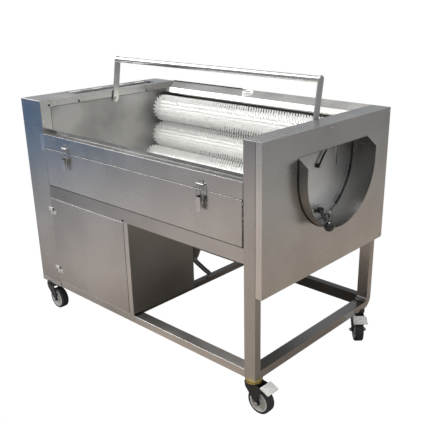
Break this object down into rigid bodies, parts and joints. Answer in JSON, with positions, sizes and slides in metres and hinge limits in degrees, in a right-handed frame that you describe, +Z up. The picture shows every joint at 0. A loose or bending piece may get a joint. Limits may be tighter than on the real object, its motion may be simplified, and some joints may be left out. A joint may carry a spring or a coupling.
{
  "type": "vegetable washing machine",
  "caption": "Stainless cabinet on casters with a concave bed of driven brush rollers, a U-shaped discharge chute with hanging door, water tray, bail and drive box.",
  "frame": {"origin": "on the floor, under the middle of the outer box", "axes": "+X along the rollers towards the discharge chute, +Y from the front with the latched panel to the rear, +Z up"},
  "size_m": [1.4824, 0.818, 1.179],
  "materials": {
    "stainless": "brushed",
    "dark_steel": "oiled",
    "black_steel": "powder coated",
    "yellow_zinc": "yellow zinc plated",
    "zinc_bolt": "bright zinc plated",
    "motor_casting": "painted casting",
    "nylon_bristle": "fine bristle",
    "black_rubber": "smooth",
    "wheel_rubber": "matt tread",
    "grey_plastic": "ribbed",
    "black_knob": "polished"
  },
  "bodies": {
    "cabinet": {"right_end_frame": "stainless", "left_end_frame": "stainless", "bottom_rails": "stainless", "top_beam": "stainless", "lower_beam": "stainless", "left_end_shell": "stainless", "left_inner_wall": "stainless", "hatch_hinge": "stainless", "right_end_cover": "stainless", "right_inner_wall": "stainless", "discharge_chute": "stainless", "door_hinge_rod": "dark_steel", "rear_panel": "stainless", "front_deflector": "stainless", "front_panel": "stainless", "water_tray": "stainless", "drain_hose": "black_rubber", "spray_pipe": "stainless", "motor_box": "stainless", "gear_motor": "motor_casting", "drive_chains": "dark_steel", "roller_bearings": "dark_steel", "bail_bolts": "zinc_bolt", "latch_plates": "stainless", "caster_tops": "yellow_zinc"},
    "hatch": {"drive_hatch": "stainless"},
    "outlet_door": {"discharge_door": "stainless"},
    "outlet_latch": {"latch_lever": "black_steel", "ball_knob": "black_knob"},
    "motor_cover": {"motor_door": "stainless"},
    "drive": {"drive_sprocket": "dark_steel"},
    "bail": {"bail_handle": "stainless"},
    "roller_1": {"brush_1": "nylon_bristle", "shaft_1": "dark_steel"},
    "roller_2": {"brush_2": "nylon_bristle", "shaft_2": "dark_steel"},
    "roller_3": {"brush_3": "nylon_bristle", "shaft_3": "dark_steel"},
    "roller_4": {"brush_4": "nylon_bristle", "shaft_4": "dark_steel"},
    "roller_5": {"brush_5": "nylon_bristle", "shaft_5": "dark_steel"},
    "roller_6": {"brush_6": "nylon_bristle", "shaft_6": "dark_steel"},
    "roller_7": {"brush_7": "nylon_bristle", "shaft_7": "dark_steel"},
    "toggle_left": {"toggle_lever_left": "stainless"},
    "hoop_left": {"toggle_hoop_left": "stainless"},
    "toggle_right": {"toggle_lever_right": "stainless"},
    "hoop_right": {"toggle_hoop_right": "stainless"},
    "caster_fr": {"caster_fork_fr": "black_steel"},
    "wheel_fr": {"caster_wheel_fr": "wheel_rubber"},
    "caster_fl": {"caster_fork_fl": "black_steel"},
    "wheel_fl": {"caster_wheel_fl": "wheel_rubber"},
    "caster_rr": {"caster_fork_rr": "black_steel"},
    "wheel_rr": {"caster_wheel_rr": "wheel_rubber"},
    "caster_rl": {"caster_fork_rl": "black_steel"},
    "wheel_rl": {"caster_wheel_rl": "wheel_rubber"},
    "pedal_fr": {"brake_pedal_fr": "grey_plastic"},
    "pedal_rr": {"brake_pedal_rr": "grey_plastic"}
  },
  "joints": [
    {"name": "roller_1_spin", "type": "hinge", "parent": "cabinet", "child": "roller_1", "pos_m": [-0.00625, 0.30388, 0.90398], "axis": [1, 0, 0], "continuous": true},
    {"name": "roller_2_spin", "type": "hinge", "parent": "cabinet", "child": "roller_2", "pos_m": [-0.00625, 0.29232, 0.77188], "axis": [1, 0, 0], "continuous": true},
    {"name": "roller_3_spin", "type": "hinge", "parent": "cabinet", "child": "roller_3", "pos_m": [-0.00625, 0.22205, 0.65943], "axis": [1, 0, 0], "continuous": true},
    {"name": "roller_4_spin", "type": "hinge", "parent": "cabinet", "child": "roller_4", "pos_m": [-0.00625, 0.10839, 0.59114], "axis": [1, 0, 0], "continuous": true},
    {"name": "roller_5_spin", "type": "hinge", "parent": "cabinet", "child": "roller_5", "pos_m": [-0.00625, -0.02389, 0.5819], "axis": [1, 0, 0], "continuous": true},
    {"name": "roller_6_spin", "type": "hinge", "parent": "cabinet", "child": "roller_6", "pos_m": [-0.00625, -0.14594, 0.63371], "axis": [1, 0, 0], "continuous": true},
    {"name": "roller_7_spin", "type": "hinge", "parent": "cabinet", "child": "roller_7", "pos_m": [-0.00625, -0.23117, 0.7353], "axis": [1, 0, 0], "continuous": true},
    {"name": "drive_spin", "type": "hinge", "parent": "cabinet", "child": "drive", "pos_m": [-0.64925, -0.191, 0.33], "axis": [1, 0, 0], "continuous": true},
    {"name": "outlet_door_swing", "type": "hinge", "parent": "cabinet", "child": "outlet_door", "pos_m": [0.59475, 0.023, 0.92], "axis": [0, -1, 0], "range_deg": [0, 75]},
    {"name": "outlet_latch_turn", "type": "hinge", "parent": "outlet_door", "child": "outlet_latch", "pos_m": [0.59475, 0.014, 0.686], "axis": [-1, 0, 0], "range_deg": [0, 90]},
    {"name": "motor_cover_swing", "type": "hinge", "parent": "cabinet", "child": "motor_cover", "pos_m": [-0.58625, -0.395, 0.38], "axis": [0, 0, -1], "range_deg": [0, 110]},
    {"name": "hatch_swing", "type": "hinge", "parent": "cabinet", "child": "hatch", "pos_m": [-0.70925, 0.074, 1.014], "axis": [0, 1, 0], "range_deg": [0, 95]},
    {"name": "bail_swing", "type": "hinge", "parent": "cabinet", "child": "bail", "pos_m": [-0.00625, 0.018, 0.985], "axis": [1, 0, 0], "range_deg": [-70, 95]},
    {"name": "toggle_left_turn", "type": "hinge", "parent": "cabinet", "child": "toggle_left", "pos_m": [-0.43225, -0.401, 0.79], "axis": [-1, 0, 0], "range_deg": [0, 110]},
    {"name": "hoop_left_turn", "type": "hinge", "parent": "toggle_left", "child": "hoop_left", "pos_m": [-0.43225, -0.4035, 0.775], "axis": [-1, 0, 0], "range_deg": [-110, 0]},
    {"name": "toggle_right_turn", "type": "hinge", "parent": "cabinet", "child": "toggle_right", "pos_m": [0.38375, -0.401, 0.79], "axis": [-1, 0, 0], "range_deg": [0, 110]},
    {"name": "hoop_right_turn", "type": "hinge", "parent": "toggle_right", "child": "hoop_right", "pos_m": [0.38375, -0.4035, 0.775], "axis": [-1, 0, 0], "range_deg": [-110, 0]},
    {"name": "caster_fr_swivel", "type": "hinge", "parent": "cabinet", "child": "caster_fr", "pos_m": [0.60375, -0.366, 0.118], "axis": [0, 0, 1], "continuous": true},
    {"name": "wheel_fr_spin", "type": "hinge", "parent": "caster_fr", "child": "wheel_fr", "pos_m": [0.63875, -0.366, 0.051], "axis": [0, 1, 0], "continuous": true},
    {"name": "pedal_fr_press", "type": "hinge", "parent": "caster_fr", "child": "pedal_fr", "pos_m": [0.65875, -0.366, 0.113], "axis": [0, 1, 0], "range_deg": [0, 8]},
    {"name": "caster_fl_swivel", "type": "hinge", "parent": "cabinet", "child": "caster_fl", "pos_m": [-0.68925, -0.366, 0.118], "axis": [0, 0, 1], "continuous": true},
    {"name": "wheel_fl_spin", "type": "hinge", "parent": "caster_fl", "child": "wheel_fl", "pos_m": [-0.65425, -0.366, 0.051], "axis": [0, 1, 0], "continuous": true},
    {"name": "caster_rr_swivel", "type": "hinge", "parent": "cabinet", "child": "caster_rr", "pos_m": [0.60375, 0.344, 0.118], "axis": [0, 0, 1], "continuous": true},
    {"name": "wheel_rr_spin", "type": "hinge", "parent": "caster_rr", "child": "wheel_rr", "pos_m": [0.62762, 0.3184, 0.051], "axis": [0.7314, 0.682, 0], "continuous": true},
    {"name": "pedal_rr_press", "type": "hinge", "parent": "caster_rr", "child": "pedal_rr", "pos_m": [0.64126, 0.30378, 0.113], "axis": [0.7314, 0.682, 0], "range_deg": [0, 8]},
    {"name": "caster_rl_swivel", "type": "hinge", "parent": "cabinet", "child": "caster_rl", "pos_m": [-0.68925, 0.344, 0.118], "axis": [0, 0, 1], "continuous": true},
    {"name": "wheel_rl_spin", "type": "hinge", "parent": "caster_rl", "child": "wheel_rl", "pos_m": [-0.67175, 0.31369, 0.051], "axis": [0.866, 0.5, 0], "continuous": true}
  ],
  "couplings": [
    {"joint": "drive_spin", "follows": "roller_5_spin", "ratio": 2},
    {"joint": "roller_1_spin", "follows": "roller_5_spin", "ratio": 1},
    {"joint": "roller_2_spin", "follows": "roller_5_spin", "ratio": 1},
    {"joint": "roller_3_spin", "follows": "roller_5_spin", "ratio": 1},
    {"joint": "roller_4_spin", "follows": "roller_5_spin", "ratio": 1},
    {"joint": "roller_6_spin", "follows": "roller_5_spin", "ratio": 1},
    {"joint": "roller_7_spin", "follows": "roller_5_spin", "ratio": 1},
    {"joint": "hoop_left_turn", "follows": "toggle_left_turn", "ratio": -1},
    {"joint": "hoop_right_turn", "follows": "toggle_right_turn", "ratio": -1}
  ]
}
